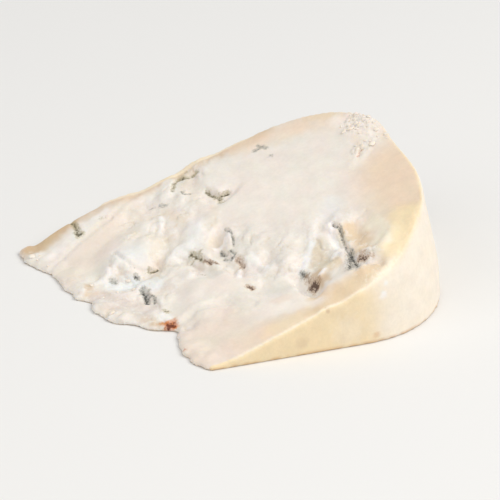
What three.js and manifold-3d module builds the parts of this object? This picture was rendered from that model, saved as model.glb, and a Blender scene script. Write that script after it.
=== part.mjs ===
// A wedge of blue cheese from a small wheel, lying on its old cut face. Millimetres, +Z up.
// While it is built, the origin is the bottom corner where the thin broken edge meets the near
// flat side of the wheel. +X runs from the thin edge to the rim, +Y from the near flat side to
// the far one. At the end the wedge is centred over the origin.
import * as THREE from "three";
import { mergeVertices } from "three/addons/utils/BufferGeometryUtils.js";
import { ImprovedNoise } from "three/addons/math/ImprovedNoise.js";
import Module from "manifold-3d";

const { clamp, degToRad, lerp, smoothstep } = THREE.MathUtils;
const wasm = await Module();
wasm.setup();
const noise = new ImprovedNoise();

// Driving dimensions of the wheel and of the cut
const WHEEL_HEIGHT = 90; // between the two flat sides
const FOOT_LEVELS = [0, 3, 9]; // the rim tucks in towards the foot, by these heights
const FOOT_TUCK = 1.4;
const FACE_SLOPE = degToRad(22); // the fresh cut face climbs towards the rim
const FACE_TURN = degToRad(16); // and slightly towards the far side
const TALLEST = 44; // above the highest point of the fresh face
const EDGE_THICKNESS = 2.2; // what is left of the paste at the thin edge
const EDGE_ROUND = 3; // width of the crumbled rounding along the thin edge

// Rounded shoulders between a flat side and the rim. Each is a quarter ellipse with its middle and
// half axes at the foot, and what each of these gains for a millimetre of height.
const NEAR_SHOULDER = {
  foot: { x: 46, y: 39, across: 34, along: 39 },
  gain: { x: -0.385, y: 0.14, across: 0.2, along: 0.14 },
  start: -Math.PI / 2,
};
const FAR_SHOULDER = {
  foot: { x: 52, y: 62, across: 31.5, along: 28 },
  gain: { x: -0.26, y: 0, across: 0, along: -0.1 },
  start: 0,
};
const SHOULDER_STEPS = 7;

// The thin edge, broken by hand: X at each Y, from the near side to the far side
const THIN_EDGE = [
  new THREE.Vector2(-1, 0),
  new THREE.Vector2(-4, 5),
  new THREE.Vector2(-5, 12),
  new THREE.Vector2(-4, 19),
  new THREE.Vector2(-1, 25),
  new THREE.Vector2(-8, 29),
  new THREE.Vector2(-11, 33),
  new THREE.Vector2(-16, 36),
  new THREE.Vector2(-20, 46),
  new THREE.Vector2(-18, 51),
  new THREE.Vector2(-22, 56),
  new THREE.Vector2(-22, 70),
  new THREE.Vector2(-27, 81),
  new THREE.Vector2(-26, WHEEL_HEIGHT),
];
const EDGE_STEP = 1.8;

// Sunken places in the fresh face: path, half width, depth and how steep the walls are
const at = (x, y) => new THREE.Vector3(x, y, 0);
const SUNKEN = {
  deepPit: { path: [at(31, 21), at(32, 15), at(33, 10)], half: 2.4, depth: 4.6, wall: 0.7 },
  longCrack: { path: [at(46, 30), at(46, 20), at(44.5, 9)], half: 1.4, depth: 3, wall: 0.8 },
  starPit: { path: [at(45, 12), at(50.5, 8)], half: 2, depth: 2.8, wall: 0.7 },
  hollowByTheCrack: { path: [at(51, 17), at(51, 27)], half: 6, depth: 2.2, wall: 0.2 },
  hollowBetweenTheCracks: { path: [at(38, 16), at(38, 27)], half: 7, depth: 2, wall: 0.2 },
  hollowLeftOfThePit: { path: [at(26, 22), at(26, 34)], half: 7, depth: 1.8, wall: 0.2 },
  curledPit: { path: [at(21, 54), at(18, 46), at(20, 34)], half: 2.4, depth: 2.4, wall: 0.6 },
  crossedPit: { path: [at(10, 52), at(14, 38)], half: 2.4, depth: 2.2, wall: 0.6 },
  bowedCavity: { path: [at(24, 74), at(26, 67), at(31, 69)], half: 2.2, depth: 1.8, wall: 0.6 },
  branchingVein: { path: [at(17, 79), at(21, 86)], half: 1.8, depth: 1.2, wall: 0.5 },
  darkVein: { path: [at(-5, 47), at(-5, 36)], half: 2.4, depth: 1.9, wall: 0.6 },
  creaseRoundTheLump: { path: [at(-9, 53), at(2, 54), at(8, 62)], half: 2.6, depth: 1.9, wall: 0.5 },
  notchInTheThinEdge: { path: [at(-6, 24), at(1, 24)], half: 3, depth: 2.6, wall: 0.7 },
};

// Raised places: middle, half width and height
const LUMPS = {
  roundLump: { middle: at(-1, 64), half: 11, height: 2.4 },
  lumpBetweenThePits: { middle: at(38, 17), half: 5, height: 1.8 },
  lumpByTheNearSmoothCorner: { middle: at(12, 31), half: 9, height: 1.2 },
  crumbsPushedUpAtTheRim: { middle: at(68, 66), half: 6, height: 0.8 },
  nearSideClimbingToTheRim: { middle: at(56, 0), half: 27, height: 3.6 },
  stripAlongTheFarSide: { middle: at(-7, 91), half: 18, height: 3 },
};

// Places where the knife left the face smooth: middle and half axes of each ellipse
const SMOOTH_PLACES = {
  nearCorner: { x: 16, y: 3, a: 27, b: 17 },
  stripByTheThinEdge: { x: -12, y: 76, a: 12, b: 13 },
  stripByTheFarSide: { x: -6, y: 91, a: 26, b: 8 },
  farHalfOfTheRimEnd: { x: 62, y: 66, a: 40, b: 30 },
  nearHalfOfTheRimEnd: { x: 72, y: 28, a: 19, b: 34 },
};

// The narrow facet along the far side, past a ridge near the thin edge
const RIDGE = { from: at(-27, 74), to: at(8, 90), fall: 0.06 };

// Torn curd: size and height of the lumps, coarse then fine
const CURDS = [
  { size: 11, height: 2.4 },
  { size: 5.5, height: 1.1 },
];
const SWELL = { size: 34, height: 0.9 };
const SMOOTH_SHARE = 0.1; // how much of the torn relief is left in the smooth places

// The block of paste before its sides are cut: mesh step, and its reach past the wedge
const GRID_STEP = 1.65;
const MARGIN = 5;
const BELOW = 5;

// X of the thin edge at a given Y, ragged by crumbling
function thinX(y) {
  const last = THIN_EDGE.length - 1;
  const k = clamp(THIN_EDGE.findIndex((p) => p.y >= y), 1, last);
  const [a, b] = [THIN_EDGE[k - 1], THIN_EDGE[k]];
  const share = clamp((y - a.y) / (b.y - a.y), 0, 1);
  const ragged = 1.2 * noise.noise(y / 4.2, 3.3, 0) + 0.8 * noise.noise(y / 2.1, 7.7, 0);
  return lerp(a.x, b.x, share) + ragged;
}

// The outline of the wedge at height z, counterclockwise from the far end of the thin edge
function outlineAt(z) {
  const outline = new THREE.Shape();
  outline.moveTo(thinX(WHEEL_HEIGHT), WHEEL_HEIGHT);
  for (let y = WHEEL_HEIGHT - EDGE_STEP; y > EDGE_STEP / 2; y -= EDGE_STEP) outline.lineTo(thinX(y), y);
  outline.lineTo(thinX(0), 0);
  const tuck = FOOT_TUCK * (1 - smoothstep(z, FOOT_LEVELS.at(0), FOOT_LEVELS.at(-1)));
  for (const { foot, gain, start } of [NEAR_SHOULDER, FAR_SHOULDER]) {
    const [x, y, across, along] = ["x", "y", "across", "along"].map((key) => foot[key] + gain[key] * z);
    outline.absellipse(x - tuck, y, across, along, start, start + Math.PI / 2, false, 0);
  }
  return outline.getPoints(SHOULDER_STEPS);
}

function solidOf(geometry) {
  geometry.deleteAttribute("normal");
  geometry.deleteAttribute("uv");
  const merged = mergeVertices(geometry, 1e-4);
  return new wasm.Manifold(
    new wasm.Mesh({
      numProp: 3,
      vertProperties: merged.attributes.position.array,
      triVerts: new Uint32Array(merged.index.array),
    }),
  );
}

// The sides of the wedge: its outline at the foot, where the foot's tuck ends and above the face
function sides() {
  const levels = [...FOOT_LEVELS, TALLEST];
  const rings = levels.map((z) => outlineAt(z).map((p) => new THREE.Vector3(p.x, p.y, z)));
  const count = rings[0].length;
  const faces = [];
  for (let k = 0; k < rings.length - 1; k++) {
    for (let i = 0; i < count; i++) {
      const [low, next] = [k * count + i, k * count + ((i + 1) % count)];
      faces.push(low, next, next + count, low, next + count, low + count);
    }
  }
  const above = count * (rings.length - 1);
  for (const [a, b, c] of THREE.ShapeUtils.triangulateShape(rings[0], [])) faces.push(a, c, b);
  for (const [a, b, c] of THREE.ShapeUtils.triangulateShape(rings.at(-1), [])) {
    faces.push(above + a, above + b, above + c);
  }
  const geometry = new THREE.BufferGeometry().setFromPoints(rings.flat());
  geometry.setIndex(faces);
  return solidOf(geometry);
}

// How far a point is from a path of straight stretches
function distanceTo(path, point) {
  let least = Infinity;
  const nearest = new THREE.Vector3();
  for (let i = 1; i < path.length; i++) {
    new THREE.Line3(path[i - 1], path[i]).closestPointToPoint(point, true, nearest);
    least = Math.min(least, nearest.distanceTo(point));
  }
  return least;
}

// 1 where the face is torn, down to SMOOTH_SHARE where the knife left it smooth
function tornShare(x, y) {
  let torn = 1;
  for (const { x: mx, y: my, a, b } of Object.values(SMOOTH_PLACES)) {
    torn *= smoothstep(Math.hypot((x - mx) / a, (y - my) / b), 0.85, 1.15);
  }
  return lerp(SMOOTH_SHARE, 1, torn);
}

// Rounded lumps with sharp creases between them
function curds(x, y) {
  let height = 0;
  for (const { size, height: tall } of CURDS) {
    const swell = Math.abs(noise.noise(x / size, y / size, size));
    height += tall * (Math.sqrt(swell) - 0.5);
  }
  return height;
}

function sunken(point) {
  let depth = 0;
  for (const { path, half, depth: deep, wall } of Object.values(SUNKEN)) {
    const ragged = 1 + 0.35 * noise.noise(point.x / 3, point.y / 3, deep);
    const share = distanceTo(path, point) / (half * ragged);
    depth = Math.max(depth, deep * (1 - smoothstep(share, wall * 0.5, 1.15)));
  }
  return depth;
}

function raised(point) {
  let height = 0;
  for (const { middle, half, height: tall } of Object.values(LUMPS)) {
    const share = point.distanceTo(middle) / half;
    height += tall * Math.max(0, 1 - share * share);
  }
  return height;
}

// How far the facet past the ridge has dropped
function facetDrop(point) {
  const along = RIDGE.to.clone().sub(RIDGE.from).normalize();
  const offset = point.clone().sub(RIDGE.from);
  return RIDGE.fall * Math.max(0, along.x * offset.y - along.y * offset.x);
}

// Height of the fresh face over the foot
function faceHeight(x, y) {
  const point = at(x, y);
  const uphill = x * Math.cos(FACE_TURN) + y * Math.sin(FACE_TURN);
  const swell = SWELL.height * noise.noise(x / SWELL.size, y / SWELL.size, 5);
  const torn = tornShare(x, y) * curds(x, y);
  const rough = Math.tan(FACE_SLOPE) * uphill + swell + torn + raised(point);
  const height = rough - sunken(point) - facetDrop(point);
  const worn = EDGE_THICKNESS * (1 + 0.5 * noise.noise(x / 3, y / 3, 9));
  const inward = clamp((x - thinX(y)) / EDGE_ROUND, 0, 1);
  return Math.max(height, worn) * Math.sqrt(lerp(0.25, 1, inward));
}

// A block of paste that reaches past the sides, with the fresh face on top
function paste() {
  const left = Math.min(...THIN_EDGE.map((p) => p.x)) - MARGIN;
  const right = FAR_SHOULDER.foot.x + FAR_SHOULDER.foot.across + MARGIN;
  const [wide, deep] = [right - left, WHEEL_HEIGHT + 2 * MARGIN];
  const [columns, rows] = [wide, deep].map((length) => Math.round(length / GRID_STEP));
  const block = new THREE.BoxGeometry(wide, deep, 2, columns, rows, 1);
  block.translate(left + wide / 2, WHEEL_HEIGHT / 2, 0);
  const position = block.attributes.position;
  for (let i = 0; i < position.count; i++) {
    const top = position.getZ(i) > 0;
    position.setZ(i, top ? faceHeight(position.getX(i), position.getY(i)) : -BELOW);
  }
  return solidOf(block);
}

function wedgeGeometry() {
  const cut = paste().intersect(sides()).getMesh();
  const geometry = new THREE.BufferGeometry();
  geometry.setAttribute("position", new THREE.BufferAttribute(cut.vertProperties, 3));
  geometry.setIndex(new THREE.BufferAttribute(cut.triVerts, 1));
  geometry.computeBoundingBox();
  const middle = geometry.boundingBox.getCenter(new THREE.Vector3());
  geometry.translate(-middle.x, -middle.y, 0);
  geometry.computeVertexNormals();
  return geometry;
}

const creamyPaste = new THREE.MeshStandardMaterial({ color: 0xeee0d0, roughness: 0.62, metalness: 0 });

const wedge = new THREE.Mesh(wedgeGeometry(), creamyPaste);
wedge.name = "wedge";

const cheese = new THREE.Group();
cheese.add(wedge);

export default cheese;
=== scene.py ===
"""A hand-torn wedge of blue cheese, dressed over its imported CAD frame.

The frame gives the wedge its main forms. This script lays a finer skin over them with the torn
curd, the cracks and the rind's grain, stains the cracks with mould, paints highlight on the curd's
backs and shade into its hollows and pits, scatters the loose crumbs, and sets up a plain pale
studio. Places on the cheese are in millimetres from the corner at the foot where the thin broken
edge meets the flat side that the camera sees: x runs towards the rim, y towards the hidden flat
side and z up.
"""

import logging
import math
from collections.abc import Callable, Iterable, Sequence
from dataclasses import dataclass, field
from enum import Enum

import bmesh
import bpy
import numpy as np
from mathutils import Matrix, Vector, noise


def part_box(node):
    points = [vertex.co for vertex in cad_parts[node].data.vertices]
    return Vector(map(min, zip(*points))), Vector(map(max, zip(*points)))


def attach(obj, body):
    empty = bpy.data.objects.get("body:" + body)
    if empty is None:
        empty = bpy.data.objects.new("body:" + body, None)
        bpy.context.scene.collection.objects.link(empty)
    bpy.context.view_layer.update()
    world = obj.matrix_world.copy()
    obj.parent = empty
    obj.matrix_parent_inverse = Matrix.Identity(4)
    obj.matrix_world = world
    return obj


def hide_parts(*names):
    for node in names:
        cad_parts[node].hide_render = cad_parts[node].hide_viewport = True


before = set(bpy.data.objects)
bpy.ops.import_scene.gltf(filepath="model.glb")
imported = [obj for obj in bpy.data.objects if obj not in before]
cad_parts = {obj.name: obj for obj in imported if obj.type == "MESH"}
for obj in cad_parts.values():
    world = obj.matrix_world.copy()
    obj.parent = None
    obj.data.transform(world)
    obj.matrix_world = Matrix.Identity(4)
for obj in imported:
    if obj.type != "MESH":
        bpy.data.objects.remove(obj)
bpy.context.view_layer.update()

MM = 0.001
BODY = "root"
CAD_NODE = "wedge"
MERGE_DISTANCE = 0.001 * MM

Pair = tuple[float, float]
Triple = tuple[float, float, float]
Point = Pair
Colour = tuple[float, float, float, float]
Field = np.ndarray
Tree = bpy.types.NodeTree
Socket = bpy.types.NodeSocket
Sockets = dict[str, Socket]
log = logging.getLogger("cheese")


def linear(hex_code: str) -> Colour:
    """Turns an sRGB hex colour into Blender's linear colour.

    Args:
        hex_code: Six hex digits, such as "EFE6DA".

    Returns:
        Red, green, blue and an alpha of 1.
    """
    shares = [int(hex_code[i : i + 2], 16) / 255 for i in (0, 2, 4)]
    red, green, blue = (s / 12.92 if s <= 0.04045 else ((s + 0.055) / 1.055) ** 2.4 for s in shares)
    return red, green, blue, 1.0


def smooth(value: Field, low: float, high: float) -> Field:
    """Goes smoothly from 0 at low to 1 at high, or the other way round where low is the greater.

    Args:
        value: Numbers to place between the two ends.
        low: Where the result is 0.
        high: Where the result is 1.

    Returns:
        Shares from 0 to 1.
    """
    share = np.clip((value - low) / (high - low), 0.0, 1.0)
    return share * share * (3.0 - 2.0 * share)


def blend(base: Field, top: Field | Sequence[float], share: Field) -> Field:
    """Mixes two fields of colours or numbers.

    Args:
        base: What shows where share is 0, one row or number a vertex.
        top: What shows where share is 1.
        share: How much of top shows at each vertex.

    Returns:
        The mixed field.
    """
    weight = share[:, None] if np.ndim(base) == 2 else share
    return base * (1.0 - weight) + np.asarray(top) * weight


def sampled(rule: Callable[[list[float]], float], points: Field, size: float, shift: float) -> Field:
    """Reads a noise rule at each point.

    Args:
        rule: Gives a number for a place.
        points: Places on the cheese in millimetres.
        size: Size of one lump of the noise in millimetres.
        shift: Moves the noise, so that two uses differ.

    Returns:
        One number for each point.
    """
    places = (points / size + shift).tolist()
    return np.fromiter((rule(place) for place in places), float, len(places))


def swell(points: Field, size: float, shift: float) -> Field:
    """Soft noise from about -1 to 1, with lumps of the given size."""
    return sampled(noise.noise, points, size, shift)


def curd(points: Field, size: float, shift: float) -> Field:
    """Rounded grains of the given size, 0 in the creases between them and 1 on their backs.

    Args:
        points: Places on the cheese.
        size: Size of a grain in millimetres.
        shift: Moves the grains, so that two uses differ.

    Returns:
        One number for each point.
    """

    def wall(place: list[float]) -> float:
        """How far a place is from the nearest crease, in shares of a grain."""
        nearest = noise.voronoi(place)[0]
        return nearest[1] - nearest[0]

    return smooth(sampled(wall, points, size, shift), 0.0, 0.45)


@dataclass(frozen=True)
class Waves:
    """Soft noise of one size.

    Attributes:
        size: Size of one swelling, in millimetres.
        height: How far it swells.
        shift: Moves the noise, so that two uses differ.
    """

    size: float
    height: float
    shift: float

    def at(self, points: Field) -> Field:
        """How far each point is swollen, from about minus to plus the height."""
        return self.height * swell(points, self.size, self.shift)


@dataclass(frozen=True)
class Bends:
    """Noise that moves places about, so that nothing laid on them runs straight.

    Attributes:
        size: Size of one bend, in millimetres.
        reach: How far a place is moved.
        shifts: Moves the noise of each direction.
    """

    size: float
    reach: float
    shifts: Triple

    def at(self, points: Field) -> Field:
        """The places as moved."""
        return points + self.reach * np.stack([swell(points, self.size, s) for s in self.shifts], 1)


def away_from(path: Sequence[Point], points: Field) -> Field:
    """Distance from a path of straight stretches, seen from above.

    Args:
        path: One or more places along the path.
        points: Places on the cheese.

    Returns:
        Millimetres from the nearest place of the path.
    """
    plan = points[:, :2]
    least = np.hypot(*(plan - path[0]).T)
    for start, end in zip(path[:-1], path[1:]):
        a, stretch = np.array(start), np.subtract(end, start)
        share = np.clip((plan - a) @ stretch / (stretch @ stretch), 0.0, 1.0)
        least = np.minimum(least, np.hypot(*(plan - a - share[:, None] * stretch).T))
    return least


def add_node(
    tree: Tree,
    kind: str,
    settings: dict[str, object] | None = None,
    inputs: dict[str | int, object] | None = None,
) -> bpy.types.Node:
    """Adds a node, sets its properties, and fills or links its inputs.

    Args:
        tree: The tree that gets the node.
        kind: The node's Blender type.
        settings: Properties of the node.
        inputs: Values or sockets, by the name or the number of the input.

    Returns:
        The new node.
    """
    node = tree.nodes.new(kind)
    for name, value in (settings or {}).items():
        setattr(node, name, value)
    for key, value in (inputs or {}).items():
        if isinstance(value, Socket):
            tree.links.new(value, node.inputs[key])
        else:
            node.inputs[key].default_value = value
    return node


def link_object(name: str, mesh: bpy.types.Mesh) -> bpy.types.Object:
    """Makes an object of a mesh and puts it into the scene.

    Args:
        name: The object's name.
        mesh: Its mesh.

    Returns:
        The new object.
    """
    piece = bpy.data.objects.new(name, mesh)
    bpy.context.scene.collection.objects.link(piece)
    return piece


class Tone(Enum):
    """Colours of the paste and the rind."""

    CREAM = "ECE5DC"
    LIGHT_CREAM = "F5ECE2"
    # White curd, also used as the painted highlight on the curd's backs and on thin lit walls
    WHITE_CURD = "F5F2EE"
    BEIGE = "EBDDCE"
    SHADED_CREAM = "E2D8CF"
    PINKISH_TAN = "EBD5BD"
    TAN = "D4BA99"
    # Painted shade in hollows and small pores
    HOLLOW = "E5CFAE"
    GREENISH_CREAM = "E2D7C2"
    # Orange round the notch, partly painted shadow
    RUSTY = "DE9C5A"
    YELLOW = "F6E2B9"
    BLUISH_WHITE = "EDEEED"
    RIND_YELLOW = "F1DDB8"
    RIND_CREAM = "F2E8D9"
    RIND_FOOT = "D9AE7C"
    # The pale line by the rind, also used as a painted highlight on one shaded slope
    CUT_LINE = "FBF0DC"
    OLD_CUT = "C6A985"

    @property
    def colour(self) -> Colour:
        """The tone as Blender's linear colour."""
        return linear(self.value)


class MouldAndShade(Enum):
    """Kinds of mould and of painted shade, each with the core's colour and the outer colour.
    Brown is painted shade at the bottom of pits and in creases, and rust is orange mould that is partly
    painted shadow in the notch.
    """

    BLUE = ("4B4C48", "A3A298")
    OLIVE = ("544D33", "B0A683")
    # Painted shade at the bottom of pits and in creases
    BROWN = ("50362A", "B3916F")
    # Orange mould, partly painted shadow in the notch
    RUST = ("5A1A00", "C9661B")

    @property
    def layer(self) -> str:
        """Name of the attribute that says how strongly this kind shows at a vertex."""
        return "mould_" + self.name.lower()


@dataclass(frozen=True)
class Trace:
    """A narrow place on the upper face, seen from above.

    Attributes:
        path: Places along its middle.
        half: Half its width.
    """

    path: tuple[Point, ...]
    half: float

    def gap(self, points: Field) -> Field:
        """Distance from its middle, in halves of its width."""
        return away_from(self.path, points) / self.half


@dataclass(frozen=True)
class Crack(Trace):
    """A crack, pit or vein.

    Attributes:
        depth: How far it sinks.
        darkening: The mould in it; brown is painted shade at its bottom, and rust is partly painted shadow.
        strength: How dark it is, from 0 to 1.
        lip: How far the curd beside it is pushed up.
    """

    depth: float
    darkening: MouldAndShade
    strength: float = 1.0
    lip: float = 0.0


@dataclass(frozen=True)
class Patch(Trace):
    """A patch of another tone.

    Attributes:
        tone: Its colour.
        share: How strongly it shows.
        lift: How far it is raised, below 0 where it is sunken.
    """

    tone: Tone
    share: float
    lift: float = 0.0


@dataclass(frozen=True)
class RindSpot:
    """A spot of another tone on the rind.

    Attributes:
        middle: Its place, with its height.
        half: Half its width.
        tone: Its colour.
        share: How strongly it shows.
    """

    middle: Triple
    half: float
    tone: Tone
    share: float


@dataclass(frozen=True)
class Oval:
    """An oval place on the cheese, seen from above.

    Attributes:
        middle: Its middle.
        half: Its half widths along x and y.
    """

    middle: Point
    half: Pair

    def share(self, points: Field, soft: float = 0.3) -> Field:
        """1 inside the oval and 0 outside, with a soft edge."""
        across, along = ((points[:, i] - self.middle[i]) / self.half[i] for i in (0, 1))
        return smooth(np.hypot(across, along), 1.0 + soft, 1.0 - soft)


CRACKS: tuple[Crack, ...] = (
    # Long crack near the rim, its forked foot, and the brown star beside it, whose brown is painted shade
    Crack(((46.9, 32.3), (47.8, 30.2), (47.7, 28.0)), 0.4, 0.6, MouldAndShade.BLUE, 0.86, 0.3),
    Crack(((47.7, 28.0), (46.6, 22.0), (46.0, 17.5)), 0.36, 0.6, MouldAndShade.BLUE, 0.77, 0.2),
    Crack(((46.4, 19.0), (45.2, 12.5)), 0.62, 0.3, MouldAndShade.BLUE, 0.84),
    Crack(((45.3, 17.0), (44.0, 13.0), (42.3, 9.4)), 0.95, 0.1, MouldAndShade.BLUE, 0.8),
    Crack(((45.2, 13.0), (46.0, 8.6)), 0.75, 0.1, MouldAndShade.BLUE, 0.78),
    Crack(((46.9, 13.0), (48.0, 11.6)), 0.72, 0.4, MouldAndShade.BROWN, 0.84),
    Crack(((48.0, 11.8), (49.8, 10.2)), 0.5, 0.3, MouldAndShade.BROWN, 0.66),
    Crack(((49.4, 10.8), (52.6, 11.6)), 0.4, 0.1, MouldAndShade.BLUE, 0.5),
    Crack(((52.4, 30.4), (56.0, 31.2)), 0.4, 0.3, MouldAndShade.BROWN, 0.35),
    # Deep pit by the near side, with brown painted shade at its bottom and at the near edge
    Crack(((33.5, 22.6), (34.1, 20.2)), 0.65, 0.4, MouldAndShade.BLUE, 0.8),
    Crack(((34.1, 20.2), (33.9, 16.6)), 0.7, 0.3, MouldAndShade.BROWN, 0.7),
    Crack(((33.8, 15.8), (34.8, 13.6)), 0.76, 0.4, MouldAndShade.BROWN, 0.95),
    Crack(((31.8, 0.8), (32.8, -0.4)), 0.5, 0.2, MouldAndShade.BROWN, 0.65),
    # Curled pit and crossed pit in the middle, with brown painted shade in some pits
    Crack(((23.5, 54.4), (24.1, 51.6), (23.5, 49.2), (22.8, 46.6)), 0.36, 0.4, MouldAndShade.BLUE, 0.8),
    Crack(((19.9, 48.4), (19.5, 46.6), (20.2, 45.0)), 0.5, 0.5, MouldAndShade.BLUE, 0.85),
    Crack(((21.4, 44.8), (21.8, 42.4), (20.6, 41.6)), 0.5, 0.4, MouldAndShade.BLUE, 0.8),
    Crack(((19.0, 44.2), (20.4, 42.4)), 0.4, 0.3, MouldAndShade.BLUE, 0.7),
    Crack(((21.6, 40.4), (22.0, 36.6)), 0.75, 0.8, MouldAndShade.BROWN, 0.76),
    Crack(((12.2, 52.2), (12.9, 50.6), (13.7, 47.2)), 0.55, 0.6, MouldAndShade.OLIVE, 0.85),
    Crack(((11.2, 49.4), (12.8, 49.2), (14.8, 50.6)), 0.45, 0.4, MouldAndShade.OLIVE, 0.68),
    Crack(((14.2, 46.0), (16.4, 42.2)), 0.5, 0.6, MouldAndShade.BROWN, 0.9),
    Crack(((19.2, 26.0), (20.3, 24.9)), 0.6, 0.3, MouldAndShade.BROWN, 0.9),
    Crack(((12.0, 42.8), (12.5, 42.0)), 0.4, 0.1, MouldAndShade.OLIVE, 0.7),
    # Bowed cavity and small branches near the far side
    Crack(((25.2, 74.8), (26.0, 72.6), (26.9, 70.0), (30.0, 69.6)), 0.5, 0.6, MouldAndShade.OLIVE, 0.9, 0.2),
    Crack(((26.6, 71.0), (27.4, 68.8)), 0.7, 0.4, MouldAndShade.OLIVE, 0.85),
    Crack(((26.2, 68.2), (29.2, 66.4)), 0.4, 0.3, MouldAndShade.OLIVE, 0.75),
    Crack(((17.4, 81.6), (19.2, 84.8), (21.4, 86.4)), 0.55, 0.4, MouldAndShade.OLIVE, 0.74),
    Crack(((20.6, 86.0), (23.2, 84.2), (25.6, 84.2)), 0.55, 0.4, MouldAndShade.OLIVE, 0.84),
    Crack(((19.6, 79.8), (19.4, 77.8), (21.3, 77.6)), 0.45, 0.4, MouldAndShade.BLUE, 0.8),
    Crack(((9.6, 79.4), (10.9, 79.0)), 0.55, 0.1, MouldAndShade.BLUE, 0.62),
    Crack(((12.3, 78.1), (13.9, 76.8)), 0.6, 0.1, MouldAndShade.BLUE, 0.66),
    # Streaks on the smooth far half and along the far side
    Crack(((42.0, 80.0), (44.2, 80.4)), 0.7, 0.1, MouldAndShade.BLUE, 0.77),
    Crack(((43.6, 81.8), (44.9, 78.6)), 0.55, 0.1, MouldAndShade.BLUE, 0.74),
    Crack(((44.4, 74.6), (44.9, 74.2)), 0.55, 0.1, MouldAndShade.BLUE, 0.66),
    Crack(((-11.2, 88.4), (-10.7, 85.2), (-10.9, 81.4)), 0.66, 0.4, MouldAndShade.OLIVE, 0.82),
    Crack(((-11.2, 82.2), (-10.8, 81.2)), 0.85, 0.2, MouldAndShade.OLIVE, 0.98),
    Crack(((-4.0, 83.2), (-2.6, 82.4)), 0.7, 0.1, MouldAndShade.OLIVE, 0.56),
    Crack(((22.6, 88.4), (24.0, 87.0)), 0.7, 0.2, MouldAndShade.OLIVE, 0.6),
    Crack(((-8.0, 83.2), (-7.2, 82.8)), 0.6, 0.1, MouldAndShade.OLIVE, 0.42),
    # Dark vein and specks by the thin edge
    Crack(((-3.5, 48.6), (-3.6, 45.6), (-4.7, 41.0)), 0.62, 0.6, MouldAndShade.BLUE, 0.92, 0.2),
    Crack(((-4.6, 47.4), (-1.8, 46.2)), 0.45, 0.3, MouldAndShade.BLUE, 0.7),
    Crack(((-3.2, 44.6), (-2.4, 42.4), (-3.0, 39.4)), 0.46, 0.3, MouldAndShade.BLUE, 0.76),
    Crack(((-2.2, 33.8), (-1.6, 33.0)), 0.65, 0.2, MouldAndShade.OLIVE, 0.76),
    Crack(((-9.6, 57.2), (-8.8, 56.4)), 0.8, 0.3, MouldAndShade.BLUE, 0.7),
    Crack(((-3.3, 54.9), (-2.8, 54.2)), 0.6, 0.4, MouldAndShade.BLUE, 0.84),
    Crack(((0.9, 55.2), (3.0, 54.3)), 0.5, 0.5, MouldAndShade.OLIVE, 0.95),
    Crack(((-10.9, 36.8), (-10.1, 36.2)), 0.6, 0.1, MouldAndShade.BLUE, 0.42),
    # The notch under the thin edge: red-brown mould that is partly painted shadow
    Crack(((-2.0, 27.4), (-3.6, 27.2)), 0.9, 0.5, MouldAndShade.RUST),
    Crack(((-2.2, 27.8), (-5.6, 29.2)), 0.8, 0.1, MouldAndShade.RUST, 0.5),
    Crack(((-4.6, 12.4), (-4.0, 11.8)), 0.5, 0.1, MouldAndShade.RUST, 0.6),
    # Orange slit by the rim
    Crack(((63.6, 54.6), (65.4, 56.6)), 0.6, 0.6, MouldAndShade.RUST, 0.52),
)

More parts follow.
